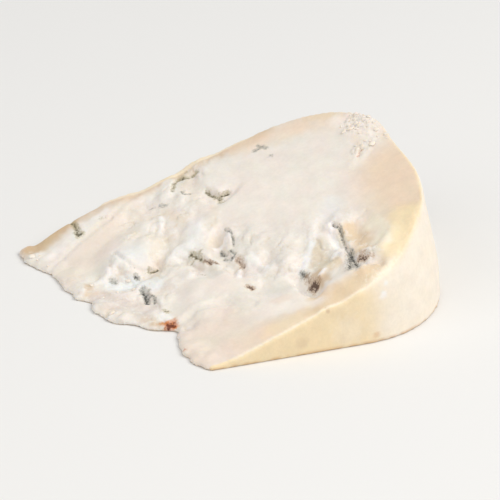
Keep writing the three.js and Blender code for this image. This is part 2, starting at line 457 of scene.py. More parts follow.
PATCHES: tuple[Patch, ...] = (
    # Broad tones of the smooth cut
    Patch(((68.0, 26.0), (70.0, 42.0)), 15.0, Tone.PINKISH_TAN, 0.95),
    Patch(((58.0, 84.0), (66.0, 78.0)), 9.0, Tone.PINKISH_TAN, 0.6),
    Patch(((56.0, 9.0), (61.0, 15.0), (63.0, 20.0)), 6.0, Tone.YELLOW, 0.85),
    Patch(((10.0, 5.0), (26.0, 2.0), (44.0, 1.0)), 6.4, Tone.PINKISH_TAN, 0.8),
    Patch(((18.0, 3.0), (30.0, 2.0)), 3.6, Tone.YELLOW, 0.4),
    # Painted shade along the near edge, where the cut curves down
    Patch(((31.0, 3.0), (40.0, 3.0), (48.5, 4.5)), 4.4, Tone.HOLLOW, 0.9),
    Patch(((22.0, 12.0), (32.0, 7.0)), 4.5, Tone.LIGHT_CREAM, 0.8),
    Patch(((-2.0, 6.0), (6.0, 14.0)), 12.0, Tone.BEIGE, 0.85),
    Patch(((-20.0, 66.0), (-8.0, 75.0), (4.0, 80.0)), 6.5, Tone.BEIGE, 0.6),
    Patch(((30.0, 62.0), (46.0, 52.0)), 16.0, Tone.LIGHT_CREAM, 0.35),
    Patch(((8.0, 30.0), (14.0, 34.0)), 8.0, Tone.LIGHT_CREAM, 0.5),
    # Painted shade in the hollows, and the shaded strip along the far side
    Patch(((50.2, 28.0), (51.4, 22.0), (49.6, 16.0)), 3.4, Tone.HOLLOW, 0.85),
    Patch(((40.6, 28.0), (39.4, 25.0), (39.4, 19.0)), 3.9, Tone.GREENISH_CREAM, 0.95),
    Patch(((41.2, 16.2), (39.2, 15.2)), 2.0, Tone.HOLLOW, 0.6),
    Patch(((31.6, 7.8), (33.4, 7.2), (34.4, 5.8)), 1.8, Tone.HOLLOW, 0.75),
    Patch(((36.0, 17.0), (36.4, 12.0)), 1.8, Tone.TAN, 0.8),
    # Painted shade on a spot where the relief is shaded
    Patch(((23.0, 14.4), (25.6, 13.2)), 1.8, Tone.BEIGE, 0.6),
    Patch(((24.0, 66.0), (21.0, 58.0)), 1.5, Tone.HOLLOW, 0.2),
    Patch(((-24.0, 86.4), (-19.0, 87.2), (-12.4, 88.4)), 3.8, Tone.TAN, 1.0),
    Patch(((-10.0, 90.0), (10.0, 90.4), (30.0, 89.6), (46.0, 86.6)), 5.2, Tone.TAN, 0.75),
    Patch(((40.0, 84.0), (55.0, 79.5)), 4.5, Tone.PINKISH_TAN, 0.5),
    Patch(((60.0, 82.0), (65.0, 78.0)), 2.6, Tone.HOLLOW, 0.5),
    Patch(((74.6, 61.0), (74.6, 50.0)), 3.4, Tone.PINKISH_TAN, 0.5),
    Patch(((52.0, 89.0), (62.0, 84.5)), 2.2, Tone.YELLOW, 0.6),
    Patch(((-16.2, 57.4),), 2.0, Tone.TAN, 0.75),
    Patch(((-17.5, 54.0), (-14.0, 52.0)), 1.6, Tone.HOLLOW, 0.6),
    Patch(((-8.4, 33.0), (-6.4, 32.4)), 1.5, Tone.TAN, 0.6),
    Patch(((-7.0, 29.0), (-1.6, 28.4)), 1.4, Tone.TAN, 0.7),
    # Orange in the notch, partly painted shadow under the thin edge
    Patch(((-4.4, 28.6), (-1.6, 27.2)), 1.3, Tone.RUSTY, 0.95),
    # White curd: thin walls, whose white is partly painted highlight, lumps and the pale ground round the
    # veins
    # Painted highlight on the lit thin wall above the deep pit, over bluish white curd
    Patch(((39.4, 30.6), (36.8, 26.6), (33.8, 22.8)), 1.3, Tone.BLUISH_WHITE, 0.95, 0.3),
    Patch(((43.6, 37.6), (40.2, 32.0)), 1.4, Tone.WHITE_CURD, 0.5, 0.2),
    Patch(((31.2, 21.0), (31.0, 15.0)), 2.2, Tone.WHITE_CURD, 0.4, 0.6),
    # White curd on the wall beside the long crack, with painted highlight where it is lit
    Patch(((45.6, 33.0), (45.6, 27.0), (44.4, 19.0)), 1.3, Tone.WHITE_CURD, 1.0, 0.4),
    Patch(((43.4, 29.0), (42.6, 22.0)), 1.6, Tone.BLUISH_WHITE, 0.3),
    Patch(((41.6, 19.0), (42.8, 20.4)), 1.3, Tone.WHITE_CURD, 1.0, 0.8),
    Patch(((36.4, 14.8), (37.2, 15.4)), 1.1, Tone.WHITE_CURD, 0.9, 0.6),
    # Painted highlight that brightens the shaded slope right of the hollow
    Patch(((54.4, 13.0), (55.4, 20.0), (55.6, 26.0)), 2.8, Tone.CUT_LINE, 0.85),
    Patch(((10.6, 73.0), (10.0, 70.4)), 1.3, Tone.WHITE_CURD, 1.0, 0.4),
    Patch(((9.4, 68.8), (8.0, 66.6)), 1.2, Tone.WHITE_CURD, 0.7, 0.2),
    Patch(((16.6, 86.0), (19.4, 87.2)), 2.2, Tone.WHITE_CURD, 0.6, 0.3),
    Patch(((12.0, 83.0), (20.0, 79.0), (30.0, 73.0)), 4.4, Tone.WHITE_CURD, 0.2),
    Patch(((17.0, 62.0), (14.0, 54.6), (10.0, 55.6)), 3.2, Tone.WHITE_CURD, 0.9, 0.3),
    Patch(((21.8, 50.6), (19.6, 50.4)), 1.8, Tone.WHITE_CURD, 1.0, 0.5),
    Patch(((20.4, 36.0), (18.6, 31.4)), 1.1, Tone.WHITE_CURD, 1.0, 0.7),
    Patch(((24.0, 38.0), (26.4, 31.0)), 1.4, Tone.WHITE_CURD, 0.8, 0.4),
    Patch(((-2.0, 62.4), (-0.4, 60.8)), 5.2, Tone.BLUISH_WHITE, 0.55),
    Patch(((-5.0, 63.4), (-4.4, 61.0)), 3.4, Tone.BLUISH_WHITE, 0.3, 0.9),
    # Painted shade in two hollows beside the round lump
    Patch(((5.0, 59.0), (7.0, 65.0)), 3.6, Tone.HOLLOW, 0.2, -1.0),
    Patch(((12.0, 74.0), (16.0, 66.0)), 2.4, Tone.HOLLOW, 0.3),
    Patch(((-10.0, 55.0), (-4.6, 53.0), (0.0, 47.0)), 3.2, Tone.BLUISH_WHITE, 0.95),
    Patch(((-12.6, 58.6), (-7.0, 60.6)), 1.8, Tone.WHITE_CURD, 0.8, 0.3),
    Patch(((-5.6, 35.6), (-3.4, 30.6)), 2.2, Tone.WHITE_CURD, 0.9, 0.3),
    Patch(((-15.5, 50.0), (-11.0, 42.0), (-7.0, 36.0)), 4.6, Tone.SHADED_CREAM, 0.9),
    Patch(((-17.0, 49.0), (-13.0, 44.0)), 1.4, Tone.WHITE_CURD, 0.4, 0.2),
    Patch(((-22.0, 79.4), (-14.0, 81.4), (-2.0, 84.4)), 1.8, Tone.WHITE_CURD, 0.6),
    Patch(((47.6, 36.6), (49.6, 42.0)), 3.6, Tone.BLUISH_WHITE, 0.5),
    Patch(((62.6, 52.8), (67.0, 58.0), (71.6, 62.0), (71.4, 71.0)), 3.2, Tone.LIGHT_CREAM, 0.7, 0.3),
    # Painted shade in the hollow among the crumbs
    Patch(((65.8, 67.0), (66.0, 64.0), (64.8, 56.6)), 1.4, Tone.HOLLOW, 0.25),
    Patch(((65.0, 74.0), (66.4, 69.0), (66.4, 65.6)), 3.0, Tone.LIGHT_CREAM, 0.75),
    Patch(((15.6, 89.4), (18.0, 88.8), (22.0, 87.6)), 1.8, Tone.TAN, 0.6),
)

# Creases with little or no mould, such as the one that half rings the round lump; the brown ones carry only
# a faint painted shade
CREASES: tuple[Crack, ...] = (
    Crack(((-5.8, 66.0), (-5.0, 61.0), (-3.7, 57.4), (-1.2, 55.4), (1.4, 55.2)), 0.5, 0.5, MouldAndShade.BLUE, 0.45),
    Crack(((-22.7, 73.0), (-16.8, 77.4), (-8.5, 79.4), (-1.6, 81.4)), 0.8, 0.4, MouldAndShade.BROWN, 0.1),
    Crack(((-1.6, 81.4), (3.2, 85.0), (9.0, 87.6)), 0.8, 0.3, MouldAndShade.BROWN, 0.1),
    Crack(((-2.0, 26.5), (5.0, 27.0), (11.0, 25.0), (18.0, 18.0)), 0.9, 0.4, MouldAndShade.BROWN, 0.0, 0.25),
    Crack(((52.6, 53.0), (60.6, 50.0), (63.0, 53.0)), 0.6, 0.12, MouldAndShade.BROWN, 0.0),
)

RIND_SPOTS: tuple[RindSpot, ...] = (
    RindSpot((49.0, 1.3, 13.7), 1.4, Tone.WHITE_CURD, 0.9),
    RindSpot((50.2, 1.6, 16.8), 0.9, Tone.WHITE_CURD, 0.8),
    RindSpot((24.9, 0.0, 4.2), 2.2, Tone.TAN, 0.28),
    RindSpot((46.7, 0.2, 2.4), 1.2, Tone.RIND_FOOT, 0.5),
    RindSpot((32.4, 0.0, 12.2), 0.7, Tone.TAN, 0.8),
    RindSpot((38.5, 0.0, 5.0), 5.5, Tone.RIND_CREAM, 0.35),
    RindSpot((-19.0, 90.0, 3.0), 9.0, Tone.TAN, 0.9),
    # The hidden sides, like those that show
    RindSpot((22.0, 90.0, 9.0), 2.6, Tone.TAN, 0.3),
    RindSpot((43.0, 90.0, 18.0), 1.2, Tone.WHITE_CURD, 0.7),
    RindSpot((58.0, 88.0, 2.0), 1.4, Tone.RIND_FOOT, 0.5),
    RindSpot((81.0, 48.0, 15.0), 1.3, Tone.WHITE_CURD, 0.8),
    RindSpot((80.0, 60.0, 7.0), 2.4, Tone.TAN, 0.25),
)

# Lumps that broke off whole, so that they are rounded and smooth
SOFT_LUMPS: tuple[Oval, ...] = (
    Oval((-1.2, 61.6), (5.8, 6.0)),
    Oval((9.5, 31.0), (10.0, 10.5)),
)

SMOOTH_CUTS: tuple[Oval, ...] = (
    *SOFT_LUMPS,
    Oval((15.0, 4.0), (28.0, 21.5)),
    Oval((-12.0, 76.0), (12.0, 13.0)),
    Oval((-6.0, 91.0), (26.0, 8.0)),
    Oval((62.0, 66.0), (40.0, 30.0)),
    Oval((72.0, 28.0), (19.0, 34.0)),
    Oval((58.0, 14.0), (5.6, 14.0)),
)

# Where the edge between the fresh cut and the rind is rubbed round, on the near shoulder
BEVELLED_SHOULDER = Oval((60.0, 7.0), (17.0, 13.0))

CRUMB_PLACES: tuple[Oval, ...] = (
    Oval((70.6, 67.6), (5.6, 7.6)),
    Oval((66.4, 57.2), (4.6, 2.4)),
    Oval((74.0, 58.6), (1.9, 4.4)),
)
CRUMBED_TIP = Oval((-24.5, 78.5), (2.6, 6.5))


@dataclass(frozen=True)
class Place:
    """Turns metres in the frame into millimetres from the near bottom corner, and back.

    Attributes:
        low: Lowest corner of the CAD node.
        high: Highest corner of the CAD node.
        rim_reach: How far the foot of the rim lies from the near bottom corner.
    """

    low: Vector
    high: Vector
    rim_reach: float = 82.1

    @property
    def corner(self) -> Field:
        """The near bottom corner, in the frame's millimetres."""
        return np.array([self.high.x / MM - self.rim_reach, self.low.y / MM, self.low.z / MM])

    def to_mm(self, metres: Field) -> Field:
        """From the frame's metres to millimetres on the cheese."""
        return metres / MM - self.corner

    def to_metres(self, millimetres: Field) -> Field:
        """From millimetres on the cheese to the frame's metres."""
        return (millimetres + self.corner) * MM


@dataclass(frozen=True)
class Shoulder:
    """A rounded corner of the wheel between a flat side and the rim, seen from above.

    Attributes:
        middle: Middle of its quarter ellipse at the foot.
        half: Half axes at the foot.
        middle_gain: What the middle gains for each millimetre of height.
        half_gain: What the half axes gain for each millimetre of height.
        side: -1 where the flat side is the near one, 1 where it is the far one.
    """

    middle: Point
    half: Pair
    middle_gain: Pair
    half_gain: Pair
    side: int

    def at(self, height: Field) -> tuple[Field, Field, Field, Field]:
        """The middle and the half axes at each height.

        Args:
            height: Millimetres above the foot.

        Returns:
            The middle's x and y, then the half axes along x and y.
        """
        middle = (self.middle[i] + self.middle_gain[i] * height for i in (0, 1))
        half = (self.half[i] + self.half_gain[i] * height for i in (0, 1))
        return (*middle, *half)


@dataclass(frozen=True)
class WheelSides:
    """The wheel's own outside: two flat sides, the rim and the shoulders between them.

    Attributes:
        near: Shoulder between the rim and the flat side that the camera sees.
        far: Shoulder between the rim and the hidden flat side.
        foot_tuck: How far the rim draws in towards its foot.
        tuck_height: Below which height it does so.
    """

    near: Shoulder = Shoulder((46.0, 39.0), (34.0, 39.0), (-0.385, 0.14), (0.2, 0.14), -1)
    far: Shoulder = Shoulder((52.0, 62.0), (31.5, 28.0), (-0.26, 0.0), (0.0, -0.1), 1)
    foot_tuck: float = 1.4
    tuck_height: float = 9.0

    def inset(self, points: Field) -> Field:
        """How deep each point lies inside the wheel's outside, in millimetres.

        Args:
            points: Places on the cheese.

        Returns:
            Depths, below 0 outside the wheel.
        """
        across, along, height = points.T
        across = across + self.foot_tuck * smooth(height, self.tuck_height, 0.0)
        near_x, near_y, near_a, _ = self.near.at(height)
        far_x, far_y, far_a, far_b = self.far.at(height)
        share = np.clip((along - near_y) / (far_y - near_y), 0.0, 1.0)
        rim = blend(near_x + near_a, far_x + far_a, share) - across
        depth = np.minimum(rim, np.minimum(along, far_y + far_b - along))
        for shoulder in (self.near, self.far):
            x, y, a, b = shoulder.at(height)
            right, out = across - x, (along - y) * shoulder.side
            corner = (1.0 - np.hypot(right / a, out / b)) * np.sqrt(a * b)
            depth = np.where((right > 0.0) & (out > 0.0), corner, depth)
        return depth


@dataclass(frozen=True)
class RubbedShoulder:
    """The near shoulder's edge between the cut and the rind, rubbed down by handling.

    Attributes:
        start: Where along x the rubbing starts, and where it is full.
        end: Where it is full for the last time, and where it ends.
        depth: Where across the wheel it is full for the last time, and where it ends.
        drop: How far the edge sinks.
        reach: How far it is felt inwards from the edge, and down the rind.
        edge_from: Where along x the edge's height is worked out from.
        edge_curve: Its height there, how it climbs and how the climb eases off.
    """

    start: Pair = (30.0, 38.0)
    end: Pair = (57.0, 64.0)
    depth: Pair = (20.0, 32.0)
    drop: float = 2.3
    reach: float = 8.0
    edge_from: float = 41.0
    edge_curve: Triple = (18.2, 0.45, -0.004)

    def sunk(self, points: Field, inset: Field) -> Field:
        """How far each vertex sinks.

        Args:
            points: Places of the vertices.
            inset: How deep each lies inside the wheel's outside.

        Returns:
            Millimetres down.
        """
        across, along, height = points.T
        onward = across - self.edge_from
        level, climb, ease = self.edge_curve
        edge_height = level + climb * onward + ease * onward**2
        share = smooth(across, *self.start) * smooth(across, *reversed(self.end))
        share *= smooth(along, *reversed(self.depth)) * smooth(inset, self.reach, 0.5)
        return self.drop * share * smooth(height - edge_height, -self.reach, -0.5)


class Skin:
    """A fine mesh laid over a CAD node, with its vertices as plain fields of numbers."""

    def __init__(self, node: bpy.types.Object, voxel: float, rounds: int) -> None:
        """Lays the mesh.

        Args:
            node: The CAD node to cover.
            voxel: Spacing of the vertices in millimetres.
            rounds: How many times the vertices are evened out.
        """
        self.mesh = self._remeshed(node, voxel)
        count = len(self.mesh.vertices)
        self.metres = np.empty((count, 3))
        self._read("vertices", "co", self.metres)
        self.edges = np.empty((len(self.mesh.edges), 2), np.int64)
        self._read("edges", "vertices", self.edges)
        self.degree = np.bincount(self.edges.ravel(), minlength=count)
        for _ in range(rounds):
            self.metres += 0.5 * (self.spread(self.metres) - self.metres)

    def _read(self, collection: str, key: str, into: Field) -> None:
        """Reads one property of all the mesh's vertices or edges.

        Args:
            collection: "vertices" or "edges".
            key: The property's name.
            into: What is filled with it.
        """
        flat = into.ravel()
        getattr(self.mesh, collection).foreach_get(key, flat)
        into[:] = flat.reshape(into.shape)

    @staticmethod
    def _remeshed(node: bpy.types.Object, voxel: float) -> bpy.types.Mesh:
        """A voxel remesh of a merged copy of the node.

        Args:
            node: The CAD node.
            voxel: Spacing of the vertices in millimetres.

        Returns:
            The fine mesh.
        """
        merged = bmesh.new()
        merged.from_mesh(node.data)
        bmesh.ops.remove_doubles(merged, verts=merged.verts, dist=MERGE_DISTANCE)
        mesh = bpy.data.meshes.new("wedge_copy")
        merged.to_mesh(mesh)
        merged.free()
        copy = link_object("wedge_copy", mesh)
        remesh = copy.modifiers.new("fine", "REMESH")
        remesh.mode = "VOXEL"
        remesh.voxel_size = voxel * MM
        graph = bpy.context.evaluated_depsgraph_get()
        fine = bpy.data.meshes.new_from_object(copy.evaluated_get(graph))
        bpy.data.objects.remove(copy)
        bpy.data.meshes.remove(mesh)
        return fine

    def spread(self, values: Field) -> Field:
        """The mean of each vertex's neighbours, for a field of numbers or of rows.

        Args:
            values: One number or row a vertex.

        Returns:
            The means, in the same shape.
        """
        total = np.zeros_like(values)
        one, other = self.edges.T
        np.add.at(total, one, values[other])
        np.add.at(total, other, values[one])
        return total / (self.degree[:, None] if values.ndim == 2 else self.degree)

    def blurred(self, values: Field, rounds: int) -> Field:
        """The field, evened out over its neighbours some rounds.

        Args:
            values: One number or row a vertex.
            rounds: How many times it is evened out.

        Returns:
            The evened field.
        """
        for _ in range(rounds):
            values = 0.5 * (values + self.spread(values))
        return values

    def normals(self) -> Field:
        """Outward directions of the vertices as they are now.

        Returns:
            One row a vertex.
        """
        self.write_places()
        directions = np.empty((len(self.metres), 3))
        self._read("vertices", "normal", directions)
        return directions

    def write_places(self) -> None:
        """Puts the vertices' places back into the mesh."""
        self.mesh.vertices.foreach_set("co", self.metres.ravel())
        self.mesh.update()

    def write_layer(self, name: str, values: Field) -> None:
        """Stores a field of numbers or colours on the mesh, for the material.

        Args:
            name: The layer's name.
            values: One number or colour a vertex.
        """
        colours = values.ndim == 2
        layer = self.mesh.attributes.new(name, "FLOAT_COLOR" if colours else "FLOAT", "POINT")
        layer.data.foreach_set("color" if colours else "value", values.astype(np.float32).ravel())


def start_material(name: str) -> tuple[bpy.types.Material, Tree]:
    """A new material and its tree, still empty.

    Args:
        name: The material's name.

    Returns:
        The material and its tree.
    """
    material = bpy.data.materials.new(name)
    material.use_nodes = True
    material.node_tree.nodes.clear()
    return material, material.node_tree


def tinted(
    tree: Tree,
    colour: Socket,
    where: Socket,
    span: Pair,
    most: float | Socket,
    tone: str,
) -> Socket:
    """Lays a tone over a colour wherever a field is strong.

    Args:
        tree: The material's tree.
        colour: What the tone is laid over.
        where: The field.
        span: Its levels where the tone starts to show and where it shows most.
        most: How much of the tone shows there.
        tone: Its hex colour.

    Returns:
        The mixed colour.
    """
    levels = {0: where, 1: span[0], 2: span[1], 3: 0.0, 4: most}
    share = add_node(tree, "ShaderNodeMapRange", {"interpolation_type": "SMOOTHSTEP"}, levels)
    mixed = {0: share.outputs[0], 6: colour, 7: linear(tone)}
    return add_node(tree, "ShaderNodeMix", {"data_type": "RGBA"}, mixed).outputs[2]


@dataclass(frozen=True)
class CheeseFinish:
    """Semi-soft paste, torn and knife-cut, with a smooth dry rind.

    The paste is moist and waxy: light goes a little way in, so its shadows are soft, and the torn
    curd is grainier than the cut. The rind is drier and yellower, with a faint grain.

    Attributes:
        grain: Size of a fine curd grain.
        grain_depth: How deep the creases between the grains are.
        fleck: Size of a white fleck of curd.
        sparse: Flecks on the smooth cut, as a share of those on the torn paste.
        speck: Size of a speck of mould, which also breaks up the painted shade.
        mottle: Size of the soft changes of tone.
        pore: Size of the rind's pores.
        pore_depth: How deep they are.
        bleed: How far light goes into the paste.
        bleed_tint: How far red, green and blue go, as shares of that.
        roughness: Roughness where the sheen is strong, and where it is weak.
    """

    grain: float = 0.45
    grain_depth: float = 0.25
    fleck: float = 1.5
    sparse: float = 0.06
    speck: float = 0.5
    mottle: float = 4.0
    pore: float = 0.9
    pore_depth: float = 0.12
    bleed: float = 1.6
    bleed_tint: Triple = (1.0, 0.8, 0.55)
    roughness: Pair = (0.5, 0.7)

    def build(self) -> bpy.types.Material:
        """Makes the material.

        Returns:
            The material.
        """
        material, tree = start_material("blue_cheese_paste_torn_and_cut")
        given = self._sources(tree)
        colour = self._mould_and_shade(tree, given, self._flecks(tree, given, self._paste(tree, given)))
        sheen = {0: given["sheen"], 3: self.roughness[0], 4: self.roughness[1]}
        paste = {
            "Base Color": colour,
            "Roughness": add_node(tree, "ShaderNodeMapRange", inputs=sheen).outputs[0],
            "IOR": 1.45,
            "Subsurface Weight": 0.3,
            "Subsurface Radius": self.bleed_tint,
            "Subsurface Scale": self.bleed * MM,
            "Normal": self._grain(tree, given),
        }
        shader = add_node(tree, "ShaderNodeBsdfPrincipled", inputs=paste)
        add_node(tree, "ShaderNodeOutputMaterial", inputs={"Surface": shader.outputs[0]})
        return material

    def _sources(self, tree: Tree) -> Sockets:
        """The noises, by what they are for, and the fields stored on the mesh.

        Args:
            tree: The material's tree.

        Returns:
            The socket of each.
        """
        place = add_node(tree, "ShaderNodeTexCoord").outputs["Object"]
        noises = {
            "mottle": (self.mottle, 3.0),
            "sheen": (self.mottle / 3, 3.0),
            "fine mottle": (self.grain * 2, 3.0),
            "white flecks": (self.fleck, 4.0),
            "tan flecks": (self.fleck * 0.7, 4.0),
            "specks": (self.speck, 4.0),
            "pores": (self.pore, 5.0),
            "curds": (self.grain, 4.0),
        }
        given: Sockets = {}
        for name, (size, detail) in noises.items():
            inputs = {"Vector": place, "Scale": 1.0 / (size * MM), "Detail": detail}
            given[name] = add_node(tree, "ShaderNodeTexNoise", inputs=inputs).outputs["Fac"]
        for name in ("tone", "torn", *(darkening.layer for darkening in MouldAndShade)):
            stored = add_node(tree, "ShaderNodeAttribute", {"attribute_name": name})
            given[name] = stored.outputs["Color" if name == "tone" else "Fac"]
        return given

    @staticmethod
    def _paste(tree: Tree, given: Sockets) -> Socket:
        """The tones painted on the mesh, gently mottled.

        Args:
            tree: The material's tree.
            given: The noises and the stored fields, by what they are for.

        Returns:
            The colour's socket.
        """
        colour = given["tone"]
        for name, darkest, palest in (("mottle", 0.955, 1.03), ("fine mottle", 0.975, 1.02)):
            levels = {0: given[name], 1: 0.3, 2: 0.7, 3: darkest, 4: palest}
            scaled = {0: colour, "Scale": add_node(tree, "ShaderNodeMapRange", inputs=levels).outputs[0]}
            colour = add_node(tree, "ShaderNodeVectorMath", {"operation": "SCALE"}, scaled).outputs[0]
        return colour

    def _flecks(self, tree: Tree, given: Sockets, colour: Socket) -> Socket:
        """White flecks of curd and small pores in painted shade, thick where the paste is torn.

        Args:
            tree: The material's tree.
            given: The noises and the stored fields, by what they are for.
            colour: The colour so far.

        Returns:
            The colour with its flecks.
        """
        kinds = (
            ("white flecks", (0.54, 0.70), 0.45, Tone.WHITE_CURD),
            ("tan flecks", (0.40, 0.28), 0.35, Tone.HOLLOW),
        )
        for name, span, most, tone in kinds:
            levels = {0: given["torn"], 3: self.sparse * most, 4: most}
            thick = add_node(tree, "ShaderNodeMapRange", inputs=levels).outputs[0]
            colour = tinted(tree, colour, given[name], span, thick, tone.value)
        return colour

    @staticmethod
    def _mould_and_shade(tree: Tree, given: Sockets, colour: Socket) -> Socket:
        """Mould and painted shade in broken specks: dark cores with a paler, ragged outside.

        Args:
            tree: The material's tree.
            given: The noises and the stored fields, by what they are for.
            colour: The colour so far.

        Returns:
            The colour with its mould.
        """
        for darkening in MouldAndShade:
            core, outside = darkening.value
            specks = {0: given["specks"], 1: 0.8, 2: given[darkening.layer]}
            ragged = add_node(tree, "ShaderNodeMath", {"operation": "MULTIPLY_ADD"}, specks).outputs[0]
            colour = tinted(tree, colour, ragged, (0.76, 1.05), 0.6, outside)
            colour = tinted(tree, colour, ragged, (1.02, 1.24), 0.9, core)
        return colour

    def _grain(self, tree: Tree, given: Sockets) -> Socket:
        """Fine relief: curd grains where the paste is torn, pores on the rind.

        Args:
            tree: The material's tree.
            given: The noises and the stored fields, by what they are for.

        Returns:
            The bent normal.
        """
        pores = {"Height": given["pores"], "Distance": self.pore_depth * MM, "Strength": 0.3}
        torn = add_node(tree, "ShaderNodeMapRange", inputs={0: given["torn"], 3: 0.04, 4: 0.45})
        curds = {
            "Height": given["curds"],
            "Distance": self.grain_depth * MM,
            "Strength": torn.outputs[0],
            "Normal": add_node(tree, "ShaderNodeBump", inputs=pores).outputs[0],
        }
        return add_node(tree, "ShaderNodeBump", inputs=curds).outputs[0]


@dataclass(frozen=True)
class Parts:
    """How much each vertex belongs to each part of the surface, from 0 to 1.

    Attributes:
        under: The old cut that the wedge lies on.
        rind: The rind.
        face: The fresh face.
        torn: What is torn of that face, where the knife didn't smooth it.
    """

    under: Field
    rind: Field
    face: Field
    torn: Field


@dataclass(frozen=True)
class Relief:
    """Fine relief over the CAD's forms, in millimetres.

    Attributes:
        bends: What keeps the torn curd from running straight.
        scoops: Sizes of the large and the small hollows that lumps left.
        scoop_depth: How deep they are.
        grainy: Size of the stretches where grains of curd stand out.
        grain: Size of a grain.
        grain_height: How far a grain stands up.
        crevice: Size of the paste between two crevices.
        crevice_depth: How deep a crevice is.
        fine: The torn paste's finest unevenness.
        crumbled: Size of a lump where the paste is crumbled.
        crumbled_height: How far such a lump stands up.
        drag: What the knife dragged along over the smooth cut.
        rind: The rind's soft waves and its grain.
        ragged: How the width of a crack wanders, as a share of it.
    """

    bends: Bends = Bends(4.0, 1.4, (11.0, 23.0, 37.0))
    scoops: Pair = (7.0, 3.2)
    scoop_depth: float = 0.5
    grainy: float = 9.0
    grain: float = 1.9
    grain_height: float = 0.2
    crevice: float = 4.6
    crevice_depth: float = 0.4
    fine: Waves = Waves(0.9, 0.05, 43.0)
    crumbled: float = 1.5
    crumbled_height: float = 0.45
    drag: Waves = Waves(1.4, 0.02, 51.0)
    rind: tuple[Waves, Waves] = (Waves(6.0, 0.1, 61.0), Waves(1.6, 0.04, 67.0))
    ragged: Waves = Waves(1.3, 0.35, 71.0)

    def over(self, points: Field, parts: Parts) -> tuple[Field, Field]:
        """Works out the relief of each vertex.

        Args:
            points: Places of the vertices.
            parts: What each vertex belongs to.

        Returns:
            How far each vertex is lifted, and the height of the curd alone from 0 to 1.
        """
        bent = self.bends.at(points)
        lift, height = self._curd(points, bent)
        lift *= parts.torn
        lumps = self.crumbled_height * curd(bent, self.crumbled, 13.0) - self.crumbled_height / 3
        lift += parts.face * lumps * np.maximum.reduce([oval.share(points) for oval in CRUMB_PLACES])
        lift += parts.face * (1.0 - parts.torn) * self.drag.at(points * (0.25, 1.0, 1.0))
        lift += parts.rind * sum(waves.at(points) for waves in self.rind)
        return lift + parts.face * self._marks(points), height

    def _curd(self, points: Field, bent: Field) -> tuple[Field, Field]:
        """The torn curd: how far it is lifted, and its height from 0 to 1.

        Args:
            points: Places on the cheese.
            bent: The same places, moved about.

        Returns:
            How far the curd is lifted, and its height from 0 to 1.
        """
        large, small = (np.abs(swell(bent, size, shift)) for size, shift in zip(self.scoops, (3.0, 9.0)))
        scoops = 1.0 - 1.8 * large - 0.7 * small
        grainy = smooth(swell(points, self.grainy, 17.0), -0.1, 0.35)
        grains = curd(bent, self.grain, 7.0)
        crevice = smooth(np.abs(swell(bent, self.crevice, 57.0)), 0.09, 0.0)
        crevice *= smooth(swell(points, 8.0, 59.0), -0.1, 0.2)
        height = 0.55 * scoops + 0.45 * grainy * grains - 0.5 * crevice
        lift = self.scoop_depth * (scoops - 0.5) + self.grain_height * grainy * (grains - 0.5)
        return lift + self.fine.at(points) - self.crevice_depth * crevice, height

    def _marks(self, points: Field) -> Field:
        """The cracks with their pushed-up lips, the creases and the raised or sunken patches.

        Args:
            points: Places on the cheese.

        Returns:
            How far each vertex is lifted by them.
        """
        lift = np.zeros(len(points))
        ragged = 1.0 + self.ragged.at(points)
        for crack in (*CRACKS, *CREASES):
            gap = crack.gap(points) / ragged
            lift -= crack.depth * smooth(gap, 1.6, 0.3)
            lift += crack.lip * np.exp(-(((gap - 2.4) / 0.9) ** 2))
        for patch in PATCHES:
            if patch.lift:
                lift += patch.lift * smooth(patch.gap(points) / ragged, 1.1, 0.2)
        return lift


